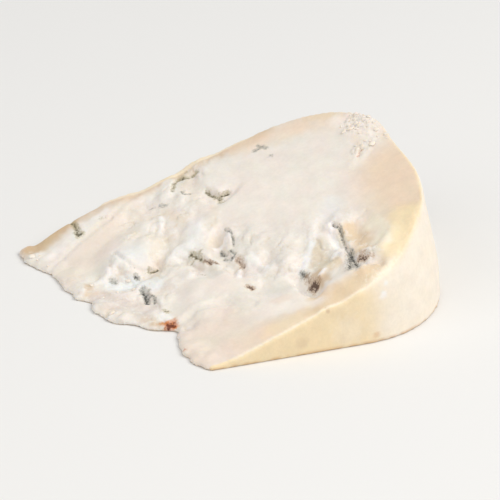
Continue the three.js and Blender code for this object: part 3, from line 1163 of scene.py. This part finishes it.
@dataclass(frozen=True)
class Colouring:
    """The tones, the mould and the painted light and shade that the skin carries.

    Attributes:
        bends: What keeps the patches' edges from running straight.
        darkening_bends: What keeps the mould and the painted shade from running straight.
        mottle: Soft unevenness of the rind's paleness.
        blush: Where the paste is a little pinker, and where greener.
        blush_tint: What the blush does to red, green and blue.
        rubbed: Where along x the pale line turns into the rind's yellow.
        darkening_reach: How far mould and painted shade spread from a crack's middle, in halves of its
            width.
    """

    bends: Bends = Bends(2.2, 1.1, (81.0, 83.0, 87.0))
    darkening_bends: Bends = Bends(1.7, 0.45, (19.0, 29.0, 31.0))
    mottle: Waves = Waves(7.0, 0.15, 5.0)
    blush: Waves = Waves(6.0, 1.0, 103.0)
    blush_tint: Colour = (0.022, -0.018, -0.008, 0.0)
    rubbed: Pair = (50.0, 60.0)
    darkening_reach: float = 3.0

    def tone(self, points: Field, parts: Parts, height: Field, line: Field) -> Field:
        """Colours the whole surface.

        Args:
            points: Places of the vertices.
            parts: What each vertex belongs to.
            height: Height of the curd from 0 to 1, which sets its painted highlight and shade.
            line: How much of the pale line by the rind shows at each vertex.

        Returns:
            A colour for each vertex.
        """
        tone = blend(self._paste(points, parts.torn, height), self._rind(points), parts.rind)
        tone = blend(tone, Tone.OLD_CUT.colour, parts.under)
        rubbed = smooth(points[:, 0], *self.rubbed)
        tone = blend(tone, Tone.CUT_LINE.colour, 0.95 * line * (1.0 - rubbed))
        return blend(tone, Tone.RIND_YELLOW.colour, 0.7 * line * rubbed)

    def _rind(self, points: Field) -> Field:
        """The rind's colour: yellow on the near flat side, cream round the rim, tan at the foot.

        Args:
            points: Places on the cheese.

        Returns:
            A colour for each vertex.
        """
        across, along, height = points.T
        pale = np.maximum(smooth(across + 0.15 * height, 42.0, 54.0), 0.5 * smooth(along, 60.0, 80.0))
        pale = np.clip(pale + self.mottle.at(points), 0.0, 1.0)
        tone = np.tile(Tone.RIND_YELLOW.colour, (len(points), 1))
        tone = blend(tone, Tone.RIND_CREAM.colour, pale)
        for spot in RIND_SPOTS:
            gap = np.linalg.norm(points - spot.middle, axis=1) / spot.half
            gap *= 1.0 + 0.4 * swell(points, 1.2, 97.0)
            tone = blend(tone, spot.tone.colour, spot.share * smooth(gap, 1.2, 0.4))
        foot = smooth(height, 1.3, 0.2) * smooth(swell(points, 2.6, 101.0), -0.35, 0.15)
        return blend(tone, Tone.RIND_FOOT.colour, 0.75 * foot)

    def _paste(self, points: Field, torn: Field, height: Field) -> Field:
        """The paste's colour: a painted highlight in white on the curd's backs, painted shade in its
        hollows, then the patches.

        Args:
            points: Places on the cheese.
            torn: How torn the paste is there.
            height: Height of the curd from 0 to 1, which sets the painted highlight and shade.

        Returns:
            A colour for each vertex.
        """
        tone = np.tile(Tone.CREAM.colour, (len(points), 1))
        # Painted highlight on the curd's high backs and painted shade in its low hollows, set by the curd's
        # height
        tone = blend(tone, Tone.WHITE_CURD.colour, 0.5 * torn * smooth(height, 0.25, 0.8))
        tone = blend(tone, Tone.HOLLOW.colour, 0.25 * torn * smooth(height, 0.2, -0.15))
        bent = self.bends.at(points)
        for patch in PATCHES:
            tone = blend(tone, patch.tone.colour, patch.share * smooth(patch.gap(bent), 1.25, 0.3))
        return tone * (1.0 + self.blush.at(points)[:, None] * self.blush_tint)

    def mould_and_shade(self, points: Field, face: Field) -> dict[str, Field]:
        """How near each vertex is to each kind of mould and of painted shade, by the name of its layer.

        Args:
            points: Places on the cheese.
            face: How much of the fresh face each vertex belongs to.

        Returns:
            Amounts from 0 to 1, by the name of the layer.
        """
        bent = self.darkening_bends.at(points)
        amounts = {darkening.layer: np.zeros(len(points)) for darkening in MouldAndShade}
        for crack in (*CRACKS, *CREASES):
            near = crack.strength * np.clip(1.0 - crack.gap(bent) / self.darkening_reach, 0.0, 1.0)
            amounts[crack.darkening.layer] = np.maximum(amounts[crack.darkening.layer], near)
        return {name: amount * smooth(face, 0.2, 0.8) for name, amount in amounts.items()}


@dataclass
class CheeseWedge:
    """The wedge itself: one piece with its torn face, rind and old cut.

    Attributes:
        place: Turns metres into millimetres on the cheese.
        voxel: Spacing of the fine mesh.
        rounds: How many times the CAD's facets are evened out.
        worn_rounds: How many times more the near shoulder's edge and the soft lumps are evened out.
        fray: How the pale line by the rind is frayed.
        broken: How ragged the broken sides are towards the foot.
        sides: The outside of the wheel.
        shoulder: The rubbed edge of the near shoulder.
        relief: The fine relief.
        colouring: The tones, the mould and the painted light and shade.
        finish: The cheese's finish.
    """

    place: Place
    voxel: float = 0.54
    rounds: int = 5
    worn_rounds: int = 30
    fray: Waves = Waves(0.9, 0.3, 91.0)
    broken: Waves = Waves(1.3, 0.4, 107.0)
    sides: WheelSides = field(default_factory=WheelSides)
    shoulder: RubbedShoulder = field(default_factory=RubbedShoulder)
    relief: Relief = field(default_factory=Relief)
    colouring: Colouring = field(default_factory=Colouring)
    finish: CheeseFinish = field(default_factory=CheeseFinish)

    def build(self) -> bpy.types.Object:
        """Makes the piece and puts it in the node's place.

        Returns:
            The piece.
        """
        skin = Skin(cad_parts[CAD_NODE], self.voxel, self.rounds)
        points = self._worn(skin, self.place.to_mm(skin.metres))
        inset = self.sides.inset(points)
        points[:, 2] -= self.shoulder.sunk(points, inset)
        skin.metres = self.place.to_metres(points)
        normals = skin.normals()
        parts = self._parts(points, normals, inset)
        line = self._cut_line(skin, points, parts)
        lift, height = self.relief.over(points, parts)
        lift = (lift + line * self.fray.at(points)) * smooth(points[:, 2], 0.15, 1.2)
        points += normals * lift[:, None]
        broken = (1.0 - parts.rind) * smooth(points[:, 2], 4.0, 0.4) * self.broken.at(points)
        points[:, :2] += normals[:, :2] * broken[:, None]
        points[:, 2] = np.maximum(points[:, 2], 0.0)
        skin.metres = self.place.to_metres(points)
        skin.write_places()
        layers = {
            "tone": self.colouring.tone(points, parts, height, line),
            **self.colouring.mould_and_shade(points, parts.face),
            "torn": parts.torn,
            "crumbs": self._crumbs(points, parts),
        }
        for name, values in layers.items():
            skin.write_layer(name, values)
        return self._finished(skin)

    def _finished(self, skin: Skin) -> bpy.types.Object:
        """Turns the skin into the piece that stands for the CAD node.

        Args:
            skin: The finished skin.

        Returns:
            The piece.
        """
        skin.mesh.materials.clear()
        skin.mesh.materials.append(self.finish.build())
        skin.mesh.shade_smooth()
        piece = link_object("cheese_wedge", skin.mesh)
        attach(piece, BODY)
        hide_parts(CAD_NODE)
        log.info("cheese_wedge: %d faces", len(skin.mesh.polygons))
        return piece

    def _worn(self, skin: Skin, points: Field) -> Field:
        """The places with the near shoulder's edge and the soft lumps evened out.

        Args:
            skin: The skin whose places these are.
            points: Places on the cheese.

        Returns:
            The worn places.
        """
        edge = smooth(np.abs(self.sides.inset(points)), 3.0, 0.5) * smooth(points[:, 2], 8.0, 14.0)
        worn = [edge * BEVELLED_SHOULDER.share(points), *(lump.share(points) for lump in SOFT_LUMPS)]
        return blend(points, skin.blurred(points, self.worn_rounds), np.maximum.reduce(worn))

    @staticmethod
    def _parts(points: Field, normals: Field, inset: Field) -> Parts:
        """Tells the parts apart by slope, by height and by depth inside the wheel's outside.

        Args:
            points: Places on the cheese.
            normals: Outward directions there.
            inset: How deep each lies inside the wheel's outside.

        Returns:
            What each vertex belongs to.
        """
        under = smooth(normals[:, 2], -0.6, -0.9) * smooth(points[:, 2], 0.6, 0.3)
        rind = smooth(inset, 0.95, 0.45) * (1.0 - under)
        face = (1.0 - rind) * (1.0 - under)
        rough = np.ones(len(points))
        for cut in SMOOTH_CUTS:
            rough *= 1.0 - cut.share(points, 0.14)
        return Parts(under, rind, face, rough * face)

    @staticmethod
    def _cut_line(skin: Skin, points: Field, parts: Parts) -> Field:
        """The pale line where the knife broke through the rind, wider on the near shoulder.

        Args:
            skin: The skin whose places these are.
            points: Places on the cheese.
            parts: What each vertex belongs to.

        Returns:
            How much of the line shows at each vertex.
        """
        edges = (skin.blurred(parts.rind, rounds) for rounds in (2, 14))
        narrow, wide = (4.0 * edge * (1.0 - edge) for edge in edges)
        line = blend(narrow, np.sqrt(wide), BEVELLED_SHOULDER.share(points)) * (1.0 - parts.under)
        return line * smooth(points[:, 2], 1.5, 3.0) * smooth(points[:, 1], 70.0, 40.0)

    @staticmethod
    def _crumbs(points: Field, parts: Parts) -> Field:
        """How thickly crumbs lie at each vertex.

        Args:
            points: Places on the cheese.
            parts: What each vertex belongs to.

        Returns:
            Shares of the full density.
        """
        height = points[:, 2]
        edge = 0.03 * smooth(height, 4.5, 2.5) * smooth(height, 1.0, 2.0) * parts.torn
        tip = 0.5 * CRUMBED_TIP.share(points) * smooth(height, 0.8, 1.4)
        return parts.face * np.maximum.reduce([edge, tip, *(o.share(points) for o in CRUMB_PLACES)])


@dataclass(frozen=True)
class CrumbFinish:
    """Curd crumbs, broken off by hand and drier than the paste, so matt and a little paler.

    Attributes:
        mottle: Size of the soft changes of tone.
        bump: How deep the finest grain is.
        bleed: How far light goes into a crumb.
        bleed_tint: How far red, green and blue go, as shares of that.
    """

    mottle: float = 0.8
    bump: float = 0.15
    bleed: float = 0.8
    bleed_tint: Triple = (1.0, 0.8, 0.55)

    def build(self) -> bpy.types.Material:
        """Makes the material.

        Returns:
            The material.
        """
        material, tree = start_material("dry_curd_crumb")
        place = add_node(tree, "ShaderNodeTexCoord").outputs["Object"]
        inputs = {"Vector": place, "Scale": 1.0 / (self.mottle * MM), "Detail": 3.0}
        mottle = add_node(tree, "ShaderNodeTexNoise", inputs=inputs).outputs["Fac"]
        tones = {0: mottle, 6: Tone.BEIGE.colour, 7: Tone.LIGHT_CREAM.colour}
        grain = {"Height": mottle, "Distance": self.bump * MM, "Strength": 0.4}
        crumb = {
            "Base Color": add_node(tree, "ShaderNodeMix", {"data_type": "RGBA"}, tones).outputs[2],
            "Roughness": 0.75,
            "Subsurface Weight": 0.4,
            "Subsurface Radius": self.bleed_tint,
            "Subsurface Scale": self.bleed * MM,
            "Normal": add_node(tree, "ShaderNodeBump", inputs=grain).outputs[0],
        }
        shader = add_node(tree, "ShaderNodeBsdfPrincipled", inputs=crumb)
        add_node(tree, "ShaderNodeOutputMaterial", inputs={"Surface": shader.outputs[0]})
        return material


@dataclass
class LooseCrumbs:
    """Crumbs that lie where the wedge crumbled, scattered by Geometry Nodes.

    Attributes:
        smallest: Half the width of the smallest crumb.
        largest: Half the width of the largest crumb.
        apart: Least distance between the middles of two crumbs.
        thinnest: Least length, width and thickness of a crumb, as shares of its size.
        fullest: Greatest length, width and thickness of a crumb, as shares of its size.
        tilt: How far a crumb may lie off the surface, in radians.
        lump: Size of the lumps that make it uneven.
        lump_height: How far they stand up.
        density: Crumbs on a square centimetre where they lie thickest.
        seed: Seed of the scatter.
        finish: Finish of the crumbs.
    """

    smallest: float = 0.35
    largest: float = 0.9
    apart: float = 1.35
    thinnest: Triple = (0.8, 0.7, 0.3)
    fullest: Triple = (1.5, 1.1, 0.6)
    tilt: float = 0.35
    lump: float = 0.6
    lump_height: float = 0.45
    density: float = 56.0
    seed: int = 4
    finish: CrumbFinish = field(default_factory=CrumbFinish)

    def build(self, wedge: bpy.types.Object) -> bpy.types.Object:
        """Scatters the crumbs over the wedge.

        Args:
            wedge: The piece that they lie on.

        Returns:
            All the crumbs as one piece.
        """
        host = link_object("crumb_host", wedge.data)
        modifier = host.modifiers.new("crumbs", "NODES")
        modifier.node_group = self._tree()
        wanted = {
            "Density": self.density / (10 * MM) ** 2,
            "Smallest": self.smallest * MM,
            "Largest": self.largest * MM,
            "Apart": self.apart * MM,
            "Seed": self.seed,
        }
        for item in modifier.node_group.interface.items_tree:
            if item.name in wanted:
                modifier[item.identifier] = wanted[item.name]
        graph = bpy.context.evaluated_depsgraph_get()
        mesh = bpy.data.meshes.new_from_object(host.evaluated_get(graph))
        bpy.data.objects.remove(host)
        piece = link_object("curd_crumbs", mesh)
        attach(piece, BODY)
        log.info("curd_crumbs: %d faces", len(mesh.polygons))
        return piece

    def _tree(self) -> Tree:
        """Builds the node tree that makes the crumbs.

        Returns:
            The tree, with its sizes as named inputs.
        """
        tree = bpy.data.node_groups.new("scatter_curd_crumbs", "GeometryNodeTree")
        sizes = dict.fromkeys(("Density", "Smallest", "Largest", "Apart"), "Float")
        kinds = {"Geometry": "Geometry", **sizes, "Seed": "Int"}
        for name, kind in kinds.items():
            tree.interface.new_socket(name, in_out="INPUT", socket_type="NodeSocket" + kind)
        tree.interface.new_socket("Geometry", in_out="OUTPUT", socket_type="NodeSocketGeometry")
        given = add_node(tree, "NodeGroupInput").outputs
        stored = {"Name": "crumbs"}
        thick = add_node(tree, "GeometryNodeInputNamedAttribute", {"data_type": "FLOAT"}, stored)
        scatter = {
            "Mesh": given["Geometry"],
            "Distance Min": given["Apart"],
            "Density Max": given["Density"],
            "Density Factor": thick.outputs[0],
            "Seed": given["Seed"],
        }
        spread_out = {"distribute_method": "POISSON"}
        points = add_node(tree, "GeometryNodeDistributePointsOnFaces", spread_out, scatter).outputs
        size, uneven, turn = self._draws(tree, given)
        ball = {"Radius": 1.0, "Subdivisions": 2}
        scaled = {0: uneven, "Scale": size}
        placed = {
            "Points": points["Points"],
            "Instance": add_node(tree, "GeometryNodeMeshIcoSphere", inputs=ball).outputs["Mesh"],
            "Rotation": add_node(
                tree,
                "FunctionNodeRotateRotation",
                {"rotation_space": "LOCAL"},
                {0: points["Rotation"], 1: turn},
            ).outputs[0],
            "Scale": add_node(tree, "ShaderNodeVectorMath", {"operation": "SCALE"}, scaled).outputs[0],
        }
        crumbs = add_node(tree, "GeometryNodeInstanceOnPoints", inputs=placed).outputs[0]
        crumbs = add_node(tree, "GeometryNodeRealizeInstances", inputs={0: crumbs}).outputs[0]
        moved = {"Geometry": crumbs, "Offset": self._lumps(tree)}
        crumbs = add_node(tree, "GeometryNodeSetPosition", inputs=moved).outputs[0]
        crumbs = add_node(tree, "GeometryNodeSetShadeSmooth", inputs={0: crumbs}).outputs[0]
        dressed = {"Geometry": crumbs, "Material": self.finish.build()}
        crumbs = add_node(tree, "GeometryNodeSetMaterial", inputs=dressed).outputs[0]
        add_node(tree, "NodeGroupOutput", inputs={0: crumbs})
        return tree

    def _draws(self, tree: Tree, given: bpy.types.bpy_prop_collection) -> list[Socket]:
        """The seeded draws of each crumb's size, form and turn.

        Args:
            tree: The crumbs' tree.
            given: The sockets of the tree's own inputs.

        Returns:
            The socket of each draw.
        """
        tilt = self.tilt
        draws = (
            ("FLOAT", 1, {2: given["Smallest"], 3: given["Largest"]}),
            ("FLOAT_VECTOR", 0, {0: self.thinnest, 1: self.fullest}),
            ("FLOAT_VECTOR", 0, {0: (-tilt, -tilt, 0.0), 1: (tilt, tilt, math.tau)}),
        )
        sockets = []
        for kind, output, ends in draws:
            inputs = {**ends, "Seed": given["Seed"]}
            draw = add_node(tree, "FunctionNodeRandomValue", {"data_type": kind}, inputs)
            sockets.append(draw.outputs[output])
        return sockets

    def _lumps(self, tree: Tree) -> Socket:
        """How far each vertex of a crumb is moved, so that no crumb is an even ball.

        Args:
            tree: The crumbs' tree.

        Returns:
            The offset's socket.
        """
        noise_inputs = {"Scale": 1.0 / (self.lump * MM), "Detail": 2.0}
        lumps = add_node(tree, "ShaderNodeTexNoise", inputs=noise_inputs).outputs[1]
        both_ways = {0: lumps, 1: (0.5, 0.5, 0.5)}
        lumps = add_node(tree, "ShaderNodeVectorMath", {"operation": "SUBTRACT"}, both_ways).outputs[0]
        scaled = {0: lumps, "Scale": self.lump_height * MM}
        return add_node(tree, "ShaderNodeVectorMath", {"operation": "SCALE"}, scaled).outputs[0]


@dataclass(frozen=True)
class Studio:
    """A plain pale floor, soft light and a camera at the photograph's viewing angle.

    Attributes:
        place: Turns metres into millimetres on the cheese.
        eye: Where the camera stands, in millimetres from the near bottom corner.
        aim: Where it looks, in the same millimetres.
        lens: Focal length, so that the wedge fills most of the frame.
        nearest: From how far off the camera sees, in metres.
        floor: Half the width of the floor, in metres.
        sky: Strength of the soft light from all round.
    """

    place: Place
    eye: Triple = (-302.0, -813.0, 441.0)
    aim: Triple = (26.0, 42.0, 13.0)
    lens: float = 262.0
    nearest: float = 0.05
    floor: float = 3.0
    sky: float = 0.52

    def build(self) -> None:
        """Sets up the floor, the lights and the camera."""
        self._floor()
        self._light("key", spot=(0.75, -0.55, 1.1), size=0.9, power=12.6, colour="FFFCF8")
        self._light("fill", spot=(-1.0, -0.4, 0.8), size=1.2, power=5.0, colour="FFFCF7")
        world = bpy.data.worlds.new("studio")
        world.use_nodes = True
        sky = world.node_tree.nodes["Background"]
        sky.inputs["Color"].default_value = linear("FFFFFF")
        sky.inputs["Strength"].default_value = self.sky
        bpy.context.scene.world = world
        bpy.context.scene.view_settings.view_transform = "Standard"
        self._camera()

    def _floor(self) -> None:
        """The floor that the wedge lies on, matt painted board."""
        corners = [(x * self.floor, y * self.floor, 0.0) for x, y in ((-1, -1), (1, -1), (1, 1), (-1, 1))]
        mesh = bpy.data.meshes.new("floor")
        mesh.from_pydata(corners, [], [(0, 1, 2, 3)])
        material = bpy.data.materials.new("matt_white_board")
        material.use_nodes = True
        shader = material.node_tree.nodes["Principled BSDF"]
        shader.inputs["Base Color"].default_value = linear("EBEBEA")
        shader.inputs["Roughness"].default_value = 0.9
        mesh.materials.append(material)
        link_object("floor", mesh)

    def _light(self, name: str, spot: Triple, size: float, power: float, colour: str) -> None:
        """A large soft light aimed at the wedge.

        Args:
            name: The light's name.
            spot: Where it hangs, in metres.
            size: Its width in metres.
            power: Its power in watts.
            colour: Its hex colour.
        """
        lamp = bpy.data.lights.new(name, "AREA")
        lamp.size = size
        lamp.energy = power
        lamp.color = linear(colour)[:3]
        light = bpy.data.objects.new(name, lamp)
        light.location = spot
        light.rotation_euler = (-Vector(spot)).to_track_quat("-Z", "Y").to_euler()
        bpy.context.scene.collection.objects.link(light)

    def _camera(self) -> None:
        """The camera, where the photograph was taken from."""
        eye, aim = (Vector(self.place.to_metres(np.array(p))) for p in (self.eye, self.aim))
        lens = bpy.data.cameras.new("camera")
        lens.lens = self.lens
        lens.clip_start = self.nearest
        camera = bpy.data.objects.new("camera", lens)
        camera.location = eye
        camera.rotation_euler = (aim - eye).to_track_quat("-Z", "Y").to_euler()
        bpy.context.scene.collection.objects.link(camera)
        bpy.context.scene.camera = camera


def main() -> None:
    """Builds the wedge, its crumbs and the studio."""
    logging.basicConfig(level=logging.INFO, format="%(message)s")
    place = Place(*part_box(CAD_NODE))
    wedge = CheeseWedge(place).build()
    LooseCrumbs().build(wedge)
    Studio(place).build()


if __name__ == "__main__":
    main()
